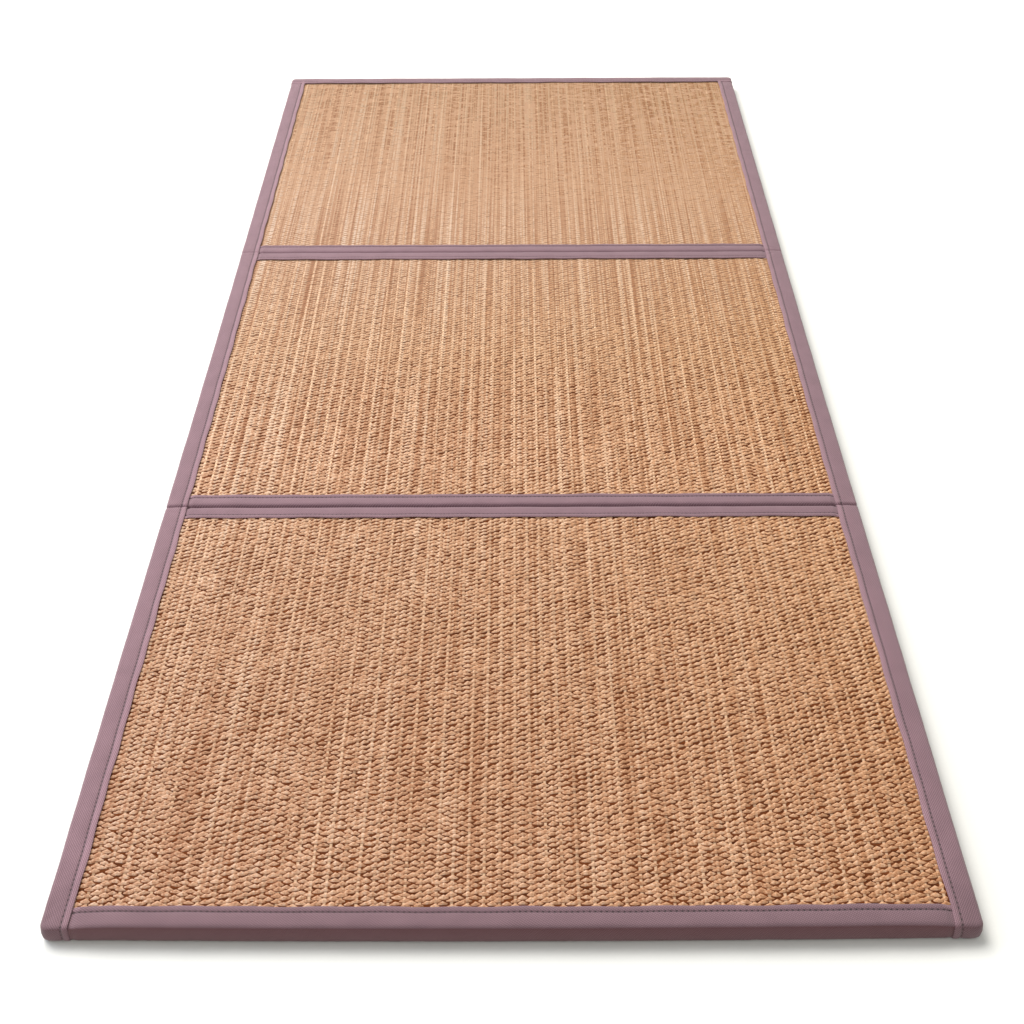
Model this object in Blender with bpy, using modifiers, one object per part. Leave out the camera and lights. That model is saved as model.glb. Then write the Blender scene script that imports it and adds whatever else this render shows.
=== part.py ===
"""Tatami mat in three folding panels, laid out flat.

Each panel is one filled pad with a rush face. Twill tape binds the two long sides and both
ends, and one more tape is sewn across each fold, where it dips between the pads.
Metres, +Z up, the near end towards -Y, the origin at the middle of the underside.
"""

import math

import bmesh
import bpy
from mathutils import Matrix, Vector

# Driving dimensions
WIDTH = 0.900
PANEL_LENGTHS = {"panel_front": 0.630, "panel_middle": 0.660, "panel_back": 0.710}
THICKNESS = 0.025
TAPE_REACH = 0.025        # side and end tapes, in from the mat's edge on each face
FOLD_REACH = 0.0235       # fold tapes, to each side of the fold
TAPE_THICKNESS = 0.0012   # twill tape with its raw edge turned under
GAP = 0.0003              # between pieces that touch
RIM_RADIUS = 0.005        # tape over the mat's upper and lower edges
CORNER_RADIUS = 0.010     # the four outer corners, seen from above
PAD_SLIT = 0.001          # between two pads, below the groove at their fold
PAD_FOLD_RADIUS = 0.006   # the pads' own corners at a fold, seen from above
NEAR_FOLD_DEPTH = 0.009   # the mat stands a little open here, so the groove is deep
FAR_FOLD_DEPTH = 0.003    # a shallow crease
GROOVE_HALF = 0.004       # half the groove's width at the mat's face
SIDE_GROOVE_SHARE = 0.5   # how much of a groove shows in the side tapes
NOTCH_SHARE = 0.2         # how much of it shows in the mat's outline
PAD_GROOVE_ROOM = 0.003   # the pads' groove is this much wider and deeper than the tape's
TUCK_RUN = 0.006          # length over which a tape sinks to pass under another
TUCK_END = 0.0005         # it is down this far before the upper tape's lip
TUCKED_END = 0.012        # a tape's hidden end stops this far inside the mat's edge
CROWN = 0.0006            # rise of the rush face from the tapes to its middle
CROWN_RUN = 0.060
NEAR_CORNER_LAG = 0.003   # the near corners lie back of the near end's middle
DRAW_IN = 0.004           # each side draws in by this much, near end to middle
DRAW_IN_LENGTH = 1.100
LINE_SPACING = 0.150      # lines across a long piece, which let it follow the outline
RIM_STEPS = 2             # facets in each half of a rim's quarter round
CORNER_STEPS = 3          # the same for a corner seen from above
CROWN_CUTS = (0.5, 1.0)   # shares of the crown's run where the pads are cut to follow it
GROOVE_CUTS = (0.16, 0.4, 0.68, 1.0)   # the same, of half a groove's width
SHARP_ANGLE_DEG = 40

LAYER = TAPE_THICKNESS + GAP
HALF_WIDTH = WIDTH / 2
BACK_Y = sum(PANEL_LENGTHS.values()) / 2
FRONT_Y = -BACK_Y
NEAR_FOLD_Y = FRONT_Y + PANEL_LENGTHS["panel_front"]
FAR_FOLD_Y = NEAR_FOLD_Y + PANEL_LENGTHS["panel_middle"]
FOLDS = ((NEAR_FOLD_Y, NEAR_FOLD_DEPTH), (FAR_FOLD_Y, FAR_FOLD_DEPTH))
SIDE_LIP = HALF_WIDTH - TAPE_REACH
END_LIP = BACK_Y - TAPE_REACH
TINY = 1e-6


# The mat's shape

def smooth(value):
    value = min(max(value, 0.0), 1.0)
    return value * value * (3 - 2 * value)


def covered(past_lip):
    """1 under an upper tape and 0 clear of it, at this distance inside that tape's lip."""
    return smooth((past_lip + TUCK_RUN) / (TUCK_RUN - TUCK_END))


def under_side_tape(x):
    return covered(abs(x) - SIDE_LIP)


def under_end_tape(y):
    return covered(abs(y) - END_LIP)


def under_fold_tape(y):
    return max(covered(FOLD_REACH - abs(y - fold_y)) for fold_y, _ in FOLDS)


def groove(y, share=1.0, room=0.0):
    """Drop of a surface at the folds, with round shoulders and a tight crease."""
    half = GROOVE_HALF + room
    for fold_y, depth in FOLDS:
        distance = abs(y - fold_y)
        if distance < half:
            return (share * depth + room) * (1 - distance / half) ** 2
    return 0.0


def face_side(z):
    """-1 at the underside, 1 at the upper face."""
    return 2 * z / THICKNESS - 1


def crown(x, y):
    """Rise of the rush face away from the tapes, which hold its edges down."""
    clear = min([SIDE_LIP - abs(x), END_LIP - abs(y)]
                + [abs(y - fold_y) - FOLD_REACH for fold_y, _ in FOLDS])
    return CROWN * smooth(clear / CROWN_RUN)


def round_off(x, y, z, inset, near_end, far_end):
    """Move a point on a square box's face onto the box with round corners and rims.

    The box is the mat's own, drawn in by inset; each end is its y and its corner radius.
    """
    side = math.copysign(1.0, x)
    half = HALF_WIDTH - inset
    end_y, radius = min(near_end, far_end, key=lambda end: abs(y - end[0]))
    end = math.copysign(1.0, end_y - (near_end[0] + far_end[0]) / 2)
    from_side, from_end = half - abs(x), abs(y - end_y)
    across, along = radius - from_side, radius - from_end
    in_corner = across > 0 and along > 0
    depth = radius - max(across, along) if in_corner else min(from_side, from_end)

    rim = RIM_RADIUS - inset
    over, up = rim - depth, rim - min(z, THICKNESS - z)
    new_depth = depth
    if over > 0 and up > 0:
        scale = max(over, up) / math.hypot(over, up)
        new_depth = rim - over * scale
        from_face = rim - up * scale
        z = from_face if z < THICKNESS / 2 else THICKNESS - from_face

    if in_corner:
        reach = (radius - new_depth) / math.hypot(across, along)
        return (side * (half - radius + across * reach),
                end_y + end * (along * reach - radius), z)
    if from_side < from_end:
        return x - side * (new_depth - depth), y, z
    return x, y - end * (new_depth - depth), z


def settle(x, y, z):
    """The outline as the mat lies: sides drawn in past the near end, near corners back."""
    across = x / HALF_WIDTH
    towards_near_end = smooth((NEAR_FOLD_Y - y) / PANEL_LENGTHS["panel_front"])
    narrowing = DRAW_IN * smooth((y - FRONT_Y) / DRAW_IN_LENGTH)
    return (x - across * narrowing,
            y + NEAR_CORNER_LAG * across ** 2 * towards_near_end,
            z)


# Where pieces are cut, so that their points can follow that shape

def arc_steps(radius, steps):
    """Distances in from a square edge whose points fall evenly on the arc round it."""
    return [radius * (1 - math.tan(math.radians(45) * step / steps)) for step in range(steps)]


def rim_lines(inset):
    steps = [inset + step for step in arc_steps(RIM_RADIUS - inset, RIM_STEPS)]
    return steps + [THICKNESS - step for step in steps]


def edge_lines(edge, inward, inset, radius):
    """Lines for the round corner and the round rims beside one edge of the mat.

    The corner's last line is left out, because the rims' lines lie there.
    """
    steps = arc_steps(RIM_RADIUS - inset, RIM_STEPS) + arc_steps(radius, CORNER_STEPS)[:-1]
    return [edge + inward * step for step in steps]


def tuck_lines(lip, outward):
    """Lines across the slope where a piece sinks under a tape that has its lip here."""
    steps = (TUCK_END, (TUCK_END + TUCK_RUN) / 2, TUCK_RUN)
    return [lip + outward * step for step in steps]


def crown_lines(lip, outward):
    return [lip + outward * CROWN_RUN * share for share in CROWN_CUTS]


def groove_lines(fold_y, room=0.0):
    shares = [0.0] + both_hands(list(GROOVE_CUTS))
    return [fold_y + share * (GROOVE_HALF + room) for share in shares]


def even_lines(start, end):
    count = round((end - start) / LINE_SPACING)
    return [start + (end - start) * step / count for step in range(1, count)]


def both_hands(lines):
    return lines + [-line for line in lines]


# Modelling helpers

def new_box(low, high):
    mesh = bmesh.new()
    low, high = Vector(low), Vector(high)
    place = Matrix.Translation((low + high) / 2) @ Matrix.Diagonal((*(high - low), 1.0))
    bmesh.ops.create_cube(mesh, size=1.0, matrix=place)
    return mesh


def near(value, target):
    return abs(value - target) < TINY


def open_side(mesh, axis, place):
    faces = [face for face in mesh.faces
             if all(near(vert.co[axis], place) for vert in face.verts)]
    bmesh.ops.delete(mesh, geom=faces, context="FACES")


def cut_lines(mesh, axis, places):
    normal = Vector((axis == 0, axis == 1, axis == 2))
    for place in places:
        geometry = mesh.verts[:] + mesh.edges[:] + mesh.faces[:]
        bmesh.ops.bisect_plane(mesh, geom=geometry, dist=TINY, plane_co=normal * place,
                               plane_no=normal)


def shape_points(mesh, rule):
    for vert in mesh.verts:
        vert.co = settle(*rule(*vert.co))
    underside = [face for face in mesh.faces if all(near(vert.co.z, 0.0) for vert in face.verts)]
    bmesh.ops.dissolve_faces(mesh, faces=underside)


def make_object(mesh, name, material, collection):
    data = bpy.data.meshes.new(name)
    mesh.to_mesh(data)
    mesh.free()
    data.materials.append(material)
    data.shade_smooth()
    data.set_sharp_from_angle(angle=math.radians(SHARP_ANGLE_DEG))
    item = bpy.data.objects.new(name, data)
    collection.objects.link(item)
    return item


def add_cloth_wall(item):
    wall = item.modifiers.new("cloth thickness", "SOLIDIFY")
    wall.thickness = TAPE_THICKNESS
    wall.offset = -1.0


def make_material(name, colour, roughness):
    material = bpy.data.materials.new(name)
    material.use_nodes = True
    shader = material.node_tree.nodes["Principled BSDF"]
    shader.inputs["Base Color"].default_value = (*colour, 1.0)
    shader.inputs["Roughness"].default_value = roughness
    shader.inputs["Metallic"].default_value = 0.0
    return material


# Pieces

def make_pad(name, start, end, material, collection):
    """A filled pad. Its face is pressed down under each tape, twice where two tapes cross."""
    outer_radius = CORNER_RADIUS - LAYER
    low = (start + PAD_SLIT / 2, PAD_FOLD_RADIUS)
    high = (end - PAD_SLIT / 2, PAD_FOLD_RADIUS)
    if near(start, FRONT_Y):
        low = (start + LAYER, outer_radius)
    if near(end, BACK_Y):
        high = (end - LAYER, outer_radius)
    side = HALF_WIDTH - LAYER
    mesh = new_box((-side, low[0], 0.0), (side, high[0], THICKNESS))

    cut_lines(mesh, 0, both_hands(edge_lines(side, -1, LAYER, outer_radius)
                                  + tuck_lines(SIDE_LIP, -1) + crown_lines(SIDE_LIP, -1)))
    lines = edge_lines(low[0], 1, LAYER, low[1]) + edge_lines(high[0], -1, LAYER, high[1])
    for fold_y, _ in FOLDS:
        lines += groove_lines(fold_y, PAD_GROOVE_ROOM)
    lips = [(FRONT_Y + TAPE_REACH, 1), (END_LIP, -1)]
    lips += [(fold_y + hand * FOLD_REACH, hand) for fold_y, _ in FOLDS for hand in (-1, 1)]
    for lip, outward in lips:
        lines += tuck_lines(lip, outward) + crown_lines(lip, outward)
    lines += even_lines(low[0], high[0])
    cut_lines(mesh, 1, [line for line in lines if low[0] < line < high[0]])
    cut_lines(mesh, 2, rim_lines(LAYER))

    def press(x, y, z):
        beside, at_end = under_side_tape(x), under_end_tape(y)
        x, y, z = round_off(x, y, z, LAYER, low, high)
        height = face_side(z)
        if height > 0:
            crossing = beside * max(at_end, under_fold_tape(y))
            z -= (LAYER + LAYER * crossing + groove(y, room=PAD_GROOVE_ROOM) - crown(x, y)) * height
        else:
            z -= LAYER * (max(beside, at_end) + beside * at_end) * height
        corner = LAYER * beside * at_end
        return x - math.copysign(corner, x), y - math.copysign(corner, y), z

    shape_points(mesh, press)
    make_object(mesh, name, material, collection)


def on_mat(x, y, z):
    return round_off(x, y, z, 0.0, (FRONT_Y, CORNER_RADIUS), (BACK_Y, CORNER_RADIUS))


def make_side_binding(name, hand, material, collection):
    """Tape round one long side. It folds over the near corner and ends under the far tape."""
    inner, outer = hand * SIDE_LIP, hand * HALF_WIDTH
    end = BACK_Y - TUCKED_END
    mesh = new_box((min(inner, outer), FRONT_Y, 0.0), (max(inner, outer), end, THICKNESS))
    open_side(mesh, 0, inner)
    open_side(mesh, 1, end)
    cut_lines(mesh, 0, edge_lines(outer, -hand, 0.0, CORNER_RADIUS))
    lines = edge_lines(FRONT_Y, 1, 0.0, CORNER_RADIUS) + tuck_lines(END_LIP, -1)
    for fold_y, _ in FOLDS:
        lines += groove_lines(fold_y)
    cut_lines(mesh, 1, lines + even_lines(FRONT_Y, end))
    cut_lines(mesh, 2, rim_lines(0.0))

    def press(x, y, z):
        sunk = LAYER * (under_end_tape(y) if y > 0 else 0.0)
        x, y, z = on_mat(x, y, z)
        height = face_side(z)
        outward = (abs(x) - SIDE_LIP) / TAPE_REACH
        notch = groove(y, share=NOTCH_SHARE) * z / THICKNESS
        dip = groove(y, share=SIDE_GROOVE_SHARE) * max(height, 0.0)
        return x - hand * (sunk + notch) * outward, y, z - dip - sunk * height

    shape_points(mesh, press)
    add_cloth_wall(make_object(mesh, name, material, collection))


def make_front_binding(name, material, collection):
    """Tape round the near end, between the side tapes, with its ends tucked under them."""
    side = HALF_WIDTH - TUCKED_END
    inner = FRONT_Y + TAPE_REACH
    mesh = new_box((-side, FRONT_Y, 0.0), (side, inner, THICKNESS))
    open_side(mesh, 1, inner)
    open_side(mesh, 0, -side)
    open_side(mesh, 0, side)
    cut_lines(mesh, 0, even_lines(-side, side) + both_hands(tuck_lines(SIDE_LIP, -1)))
    cut_lines(mesh, 1, edge_lines(FRONT_Y, 1, 0.0, CORNER_RADIUS))
    cut_lines(mesh, 2, rim_lines(0.0))

    def press(x, y, z):
        sunk = LAYER * under_side_tape(x)
        x, y, z = on_mat(x, y, z)
        outward = (inner - y) / TAPE_REACH
        return x, y + sunk * outward, z - sunk * face_side(z)

    shape_points(mesh, press)
    add_cloth_wall(make_object(mesh, name, material, collection))


def make_back_binding(name, material, collection):
    """Tape round the far end. It lies over the side tapes and wraps both corners."""
    mesh = new_box((-HALF_WIDTH, END_LIP, 0.0), (HALF_WIDTH, BACK_Y, THICKNESS))
    open_side(mesh, 1, END_LIP)
    cut_lines(mesh, 0, even_lines(-HALF_WIDTH, HALF_WIDTH)
              + both_hands(edge_lines(HALF_WIDTH, -1, 0.0, CORNER_RADIUS)))
    cut_lines(mesh, 1, edge_lines(BACK_Y, -1, 0.0, CORNER_RADIUS))
    cut_lines(mesh, 2, rim_lines(0.0))
    shape_points(mesh, on_mat)
    add_cloth_wall(make_object(mesh, name, material, collection))


def make_fold_binding(name, fold_y, material, collection):
    """Tape over a fold. It dips into the groove, and its ends run under the side tapes."""
    side = HALF_WIDTH - TUCKED_END
    mesh = bmesh.new()
    place = Matrix.Translation((0.0, fold_y, THICKNESS))
    size = Matrix.Diagonal((side, FOLD_REACH, 1.0, 1.0))
    bmesh.ops.create_grid(mesh, x_segments=1, y_segments=1, size=1.0, matrix=place @ size)
    cut_lines(mesh, 0, even_lines(-side, side) + both_hands(tuck_lines(SIDE_LIP, -1)))
    cut_lines(mesh, 1, groove_lines(fold_y))

    def press(x, y, z):
        return x, y, z - LAYER * under_side_tape(x) - groove(y)

    shape_points(mesh, press)
    add_cloth_wall(make_object(mesh, name, material, collection))


def main():
    for item in list(bpy.data.objects):
        bpy.data.objects.remove(item, do_unlink=True)
    collection = bpy.data.collections.new("tatami_mat")
    bpy.context.scene.collection.children.link(collection)

    rush = make_material("woven rush", (0.60, 0.37, 0.22), 0.70)
    twill = make_material("mauve twill tape", (0.33, 0.22, 0.24), 0.85)

    start = FRONT_Y
    for name, length in PANEL_LENGTHS.items():
        make_pad(name, start, start + length, rush, collection)
        start += length
    make_front_binding("binding_front", twill, collection)
    make_back_binding("binding_back", twill, collection)
    make_fold_binding("binding_fold_near", NEAR_FOLD_Y, twill, collection)
    make_fold_binding("binding_fold_far", FAR_FOLD_Y, twill, collection)
    make_side_binding("binding_left", -1, twill, collection)
    make_side_binding("binding_right", 1, twill, collection)


main()
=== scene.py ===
import math

import bmesh
import bpy
import numpy as np
from mathutils import Matrix, Vector


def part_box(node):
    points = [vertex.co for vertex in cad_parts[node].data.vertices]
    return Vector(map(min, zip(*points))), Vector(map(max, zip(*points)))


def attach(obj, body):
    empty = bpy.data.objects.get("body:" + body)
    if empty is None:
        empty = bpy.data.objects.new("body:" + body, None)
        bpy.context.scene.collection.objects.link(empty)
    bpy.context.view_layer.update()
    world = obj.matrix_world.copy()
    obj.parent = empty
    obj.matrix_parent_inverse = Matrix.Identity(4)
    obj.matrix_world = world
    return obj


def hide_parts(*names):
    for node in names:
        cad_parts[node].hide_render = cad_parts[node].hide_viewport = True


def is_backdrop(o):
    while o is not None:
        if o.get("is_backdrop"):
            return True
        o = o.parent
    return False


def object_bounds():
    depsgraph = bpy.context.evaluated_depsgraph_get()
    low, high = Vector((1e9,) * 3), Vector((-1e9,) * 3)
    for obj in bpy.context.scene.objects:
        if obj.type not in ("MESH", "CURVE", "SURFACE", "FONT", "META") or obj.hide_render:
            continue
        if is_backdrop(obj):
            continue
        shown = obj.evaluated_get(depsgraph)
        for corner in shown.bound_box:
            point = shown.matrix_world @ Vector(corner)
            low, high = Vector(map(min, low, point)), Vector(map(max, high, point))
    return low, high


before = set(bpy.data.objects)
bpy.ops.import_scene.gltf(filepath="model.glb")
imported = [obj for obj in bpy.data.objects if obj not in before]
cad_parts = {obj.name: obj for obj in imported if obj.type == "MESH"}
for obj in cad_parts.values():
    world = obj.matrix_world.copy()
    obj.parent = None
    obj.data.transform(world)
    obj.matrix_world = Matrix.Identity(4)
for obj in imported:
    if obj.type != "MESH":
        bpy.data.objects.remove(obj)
cadLow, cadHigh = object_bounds()
print("frame loaded")


# The mat's shape, as its solids have it, in metres

mat = {
    "sideReach": 0.0265,       # side tapes, in from the edge on each face
    "nearReach": 0.0210,       # near end's tape, sewn on a little short
    "farReach": 0.0212,
    "foldReach": 0.0233,       # fold tapes, to each side of the fold
    "tapeThickness": 0.0012,
    "layer": 0.0015,           # a tape and the gap below it
    "rimRadius": 0.0035,
    "lowerRimRadius": 0.0052,  # rounder, so that the floor is dark right under it
    "cornerRadius": 0.007,
    "swell": 0.0030,           # the filled edge bellies out this far at half its height
    "nearSwell": 0.0045,       # and this far at the near end
    "swellAtTop": 0.5,         # share of that at its top
    "swellAtFloor": 0.8,       # and where it rests
    "padFoldRadius": 0.006,
    "padSlit": 0.001,
    "grooveHalf": 0.004,
    "nearFoldDepth": 0.009,    # the mat stands a little open here
    "farFoldDepth": 0.003,
    "sideGrooveShare": 0.5,    # how much of a groove shows in the side tapes
    "notchShare": 0.2,         # how much of it shows in the outline
    "padGrooveRoom": 0.003,
    "tuckRun": 0.006,          # length over which a tape sinks to pass under another
    "tuckEnd": 0.0005,
    "tuckedEnd": 0.012,        # a hidden end stops this far inside the edge
    "crown": 0.0006,
    "crownRun": 0.060,
    "cornerLag": 0.003,        # the near corners lie back of the near end's middle
    "drawIn": 0.004,           # each side draws in by this much
    "drawInLength": 1.100,
    "cornerSlump": 0.0045,     # the near corners are thinner by this much
    "cornerFlare": 0.0020,     # and spread outwards
    "cornerRun": 0.040,
    "rushHeight": 0.0013,      # the ground weave lies this far below the tapes' undersides
    "rushEdge": 0.0015,        # it rises to them over this much to each side of a lip
    "lipRoom": 0.0012,         # or a little further in, because the lips waver
}

thickness = cadHigh.z
halfWidth = cadHigh.x
frontY, backY = cadLow.y, cadHigh.y
nearFoldY = (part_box("panel_front")[1].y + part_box("panel_middle")[0].y) / 2
farFoldY = (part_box("panel_middle")[1].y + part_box("panel_back")[0].y) / 2
folds = ((nearFoldY, mat["nearFoldDepth"]), (farFoldY, mat["farFoldDepth"]))
grooveShares = (-1, -0.6, -0.3, 0, 0.3, 0.6, 1)   # mesh lines over a groove, in half widths
sideLip = halfWidth - mat["sideReach"]
nearLip = frontY + mat["nearReach"]
farLip = backY - mat["farReach"]


def smoothStep(value):
    value = np.clip(value, 0.0, 1.0)
    return value * value * (3 - 2 * value)


def bump(distance, spread):
    return np.exp(-(distance / spread) ** 2)


def covered(pastLip):  # 1 under an upper tape, 0 clear of it
    return smoothStep((pastLip + mat["tuckRun"]) / (mat["tuckRun"] - mat["tuckEnd"]))


def pastFoldLip(y, foldY):  # how far a point lies under a fold's tape
    return mat["foldReach"] - np.abs(y - foldY)


def pastEndLip(y):  # how far a point lies outside the lip of the nearer end's tape
    return np.maximum(nearLip - y, y - farLip)


def pastLips(x, y):  # how far a point lies under the tapes, negative where the rush shows
    past = np.maximum(np.abs(x) - sideLip, pastEndLip(y))
    for foldY, _ in folds:
        past = np.maximum(past, pastFoldLip(y, foldY))
    return past


def underSideTape(x):
    return covered(np.abs(x) - sideLip)


def underEndTape(y):
    return covered(pastEndLip(y))


def underFoldTape(y):
    return np.maximum(*[covered(pastFoldLip(y, foldY)) for foldY, _ in folds])


def grooveAt(y, share=1.0, room=0.0):
    half = mat["grooveHalf"] + room
    drop = 0.0
    for foldY, depth in folds:
        drop = drop + (share * depth + room) * np.clip(1 - np.abs(y - foldY) / half, 0, 1) ** 2
    return drop


def crownAt(x, y):
    return mat["crown"] * smoothStep(-pastLips(x, y) / mat["crownRun"])


def roundOff(points, inset, rim, nearEnd, farEnd):  # square box to round corners and rims
    x, y, z = points.T
    rim = np.where(z < thickness / 2, mat["lowerRimRadius"], rim)
    side = np.where(x < 0, -1.0, 1.0)
    half = halfWidth - inset
    isNear = np.abs(y - nearEnd[0]) < np.abs(y - farEnd[0])
    endY = np.where(isNear, nearEnd[0], farEnd[0])
    radius = np.where(isNear, nearEnd[1], farEnd[1])
    end = np.where(isNear, -1.0, 1.0)
    fromSide, fromEnd = half - np.abs(x), np.abs(y - endY)
    across, along = radius - fromSide, radius - fromEnd
    inCorner = (across > 0) & (along > 0)
    depth = np.where(inCorner, radius - np.maximum(across, along), np.minimum(fromSide, fromEnd))

    over, up = rim - depth, rim - np.minimum(z, thickness - z)
    onRim = (over > 0) & (up > 0)
    scale = np.where(onRim, np.maximum(over, up) / np.maximum(np.hypot(over, up), 1e-9), 1.0)
    newDepth = np.where(onRim, rim - over * scale, depth)
    fromFace = rim - up * scale
    z = np.where(onRim, np.where(z < thickness / 2, fromFace, thickness - fromFace), z)

    reach = (radius - newDepth) / np.maximum(np.hypot(across, along), 1e-9)
    sideFirst = fromSide < fromEnd
    shift = newDepth - depth
    newX = np.where(sideFirst, x - side * shift, x)
    newY = np.where(sideFirst, y, y - end * shift)
    newX = np.where(inCorner, side * (half - radius + across * reach), newX)
    newY = np.where(inCorner, endY + end * (along * reach - radius), newY)
    return np.stack([newX, newY, z], 1)


def settle(points):  # the outline as the mat lies
    x, y, z = points.T
    across = x / halfWidth
    towardsNearEnd = smoothStep((nearFoldY - y) / (nearFoldY - frontY))
    narrowing = mat["drawIn"] * smoothStep((y - frontY) / mat["drawInLength"])
    nearCorner = bump(np.hypot(np.abs(x) - halfWidth, y - frontY), mat["cornerRun"])
    x = x + across * (mat["cornerFlare"] * nearCorner - narrowing)
    y = y + mat["cornerLag"] * across ** 2 * towardsNearEnd
    return np.stack([x, y, z * (1 - mat["cornerSlump"] / thickness * nearCorner)], 1)


# Helpers for nodes and meshes

def linear(hexColour):
    channels = [int(hexColour[i:i + 2], 16) / 255 for i in (1, 3, 5)]
    return tuple(c / 12.92 if c <= 0.04045 else ((c + 0.055) / 1.055) ** 2.4 for c in channels) + (1.0,)


def setInputs(node, inputs):  # links what is a node or a socket, sets what isn't
    for name, value in inputs.items() if isinstance(inputs, dict) else enumerate(inputs):
        if isinstance(value, bpy.types.Node):
            value = next(output for output in value.outputs if output.enabled)
        if isinstance(value, bpy.types.NodeSocket):
            node.id_data.links.new(value, node.inputs[name])
        else:
            node.inputs[name].default_value = value


def nodeAdder(tree):  # gives the function that adds a node to this tree
    def add(kind, inputs=(), stops=(), **settings):
        node = tree.nodes.new(kind)
        for name, value in settings.items():
            setattr(node, name, value)
        setInputs(node, inputs)
        for _ in stops[2:]:
            node.color_ramp.elements.new(0.5)
        for i, (position, hexColour) in enumerate(stops):
            node.color_ramp.elements[i].position = position
            node.color_ramp.elements[i].color = linear(hexColour)
        return node
    return add


def newMaterial(name):
    material = bpy.data.materials.new(name)
    material.use_nodes = True
    return material, nodeAdder(material.node_tree), material.node_tree.nodes["Principled BSDF"]


def newTree(name, kinds):  # a tree of named inputs that gives geometry
    tree = bpy.data.node_groups.new(name, "GeometryNodeTree")
    for label, kind in kinds.items():
        tree.interface.new_socket(label, in_out="INPUT", socket_type="NodeSocket" + kind)
    tree.interface.new_socket("Geometry", in_out="OUTPUT", socket_type="NodeSocketGeometry")
    add = nodeAdder(tree)
    return tree, add, add("NodeGroupInput").outputs


def layCopies(add, points, shape, turned, scale, finish):  # real copies of a shape, at the end of a tree
    laid = add("GeometryNodeInstanceOnPoints", {
        "Points": points, "Instance": shape, "Rotation": turned, "Scale": scale})
    real = add("GeometryNodeRealizeInstances", (laid,))
    finished = add("GeometryNodeSetMaterial", {"Geometry": real, "Material": finish})
    add("NodeGroupOutput", (finished,))


def runTree(name, tree, values, mesh=None):  # a plain mesh of what the tree makes
    holder = bpy.data.objects.new(name + "_points", mesh or bpy.data.meshes.new(name + "_points"))
    bpy.context.scene.collection.objects.link(holder)
    modifier = holder.modifiers.new(tree.name, "NODES")
    modifier.node_group = tree
    sockets = {item.name: item.identifier for item in tree.interface.items_tree if item.in_out == "INPUT"}
    for key, value in values.items():
        modifier[sockets[key]] = value
    mesh = bpy.data.meshes.new_from_object(holder.evaluated_get(bpy.context.evaluated_depsgraph_get()))
    bpy.data.objects.remove(holder)
    mesh.name = name
    return mesh


def newObject(name, data, parent=None):
    item = bpy.data.objects.new(name, data)
    bpy.context.scene.collection.objects.link(item)
    item.parent = parent
    return item


def pieceFromPoints(name, points, quads, materials):
    mesh = bpy.data.meshes.new(name)
    mesh.from_pydata(points.tolist(), [], quads)
    for material in materials:
        mesh.materials.append(material)
    mesh.shade_smooth()
    return newObject(name, mesh)


def storeValues(mesh, name, kind, values):  # on the mesh's points
    stored = mesh.attributes.new(name, kind, "POINT")
    key = "vector" if kind == "FLOAT_VECTOR" else "value"
    stored.data.foreach_set(key, values.astype(np.float32).ravel())


def evenLines(start, end, step):
    count = max(round((end - start) / step), 1)
    return [start + (end - start) * i / count for i in range(count + 1)]


def mergeLines(lines, fixed, nearest):  # drops lines that crowd those that must stay
    free = [line for line in lines if all(abs(line - other) > nearest for other in fixed)]
    return sorted(free + list(fixed))


def arcSteps(radius, steps):  # distances in from a square edge that fall evenly on its arc
    return [radius * (1 - math.tan(math.radians(45) * i / steps)) for i in range(steps)]


def rimHeights():  # mesh lines up an edge
    lower, upper = arcSteps(mat["lowerRimRadius"], 4), arcSteps(mat["rimRadius"], 3)
    return sorted([0.0, thickness / 2, thickness] + lower + [thickness - step for step in upper])


boxSides = {  # axis, and the first or last line on it
    "left": (0, 0), "right": (0, -1), "near": (1, 0), "far": (1, -1), "under": (2, 0), "top": (2, -1)}


def shellGrid(lines, sides):  # points and quads on some sides of a box that is cut at these lines
    index, cells, quads, quadSides = {}, [], [], []
    for side in sides:
        axis, end = boxSides[side]
        a, b = [i for i in range(3) if i != axis]
        fixed = 0 if end == 0 else len(lines[axis]) - 1
        turned = (end == 0) != (axis == 1)
        for i in range(len(lines[a]) - 1):
            for j in range(len(lines[b]) - 1):
                corners = []
                for di, dj in ((0, 0), (1, 0), (1, 1), (0, 1)):
                    cell = [0, 0, 0]
                    cell[axis], cell[a], cell[b] = fixed, i + di, j + dj
                    cell = tuple(cell)
                    if cell not in index:
                        index[cell] = len(cells)
                        cells.append(cell)
                    corners.append(index[cell])
                quads.append(corners[::-1] if turned else corners)
                quadSides.append(side)
    cells = np.array(cells)
    points = np.stack([np.array(lines[i])[cells[:, i]] for i in range(3)], 1)
    return points, quads, quadSides


# Pads: crowned, filled bodies. Their face is the ground of the weave, their underside is plain cloth.

padShape = {
    "step": 0.020,             # mesh lines, near enough for the crown and the waves
    "nearest": 0.003,          # and no two closer than this
    "lipSteps": (-0.0015, 0.0, 0.0015, 0.006),
    "waveHeight": 0.0004,      # the filling lies a little uneven
    "waveTurns": (21, 17, 9, 13),   # radians per metre: across and along, then aslant
    "fill": 0.95,
}

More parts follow.
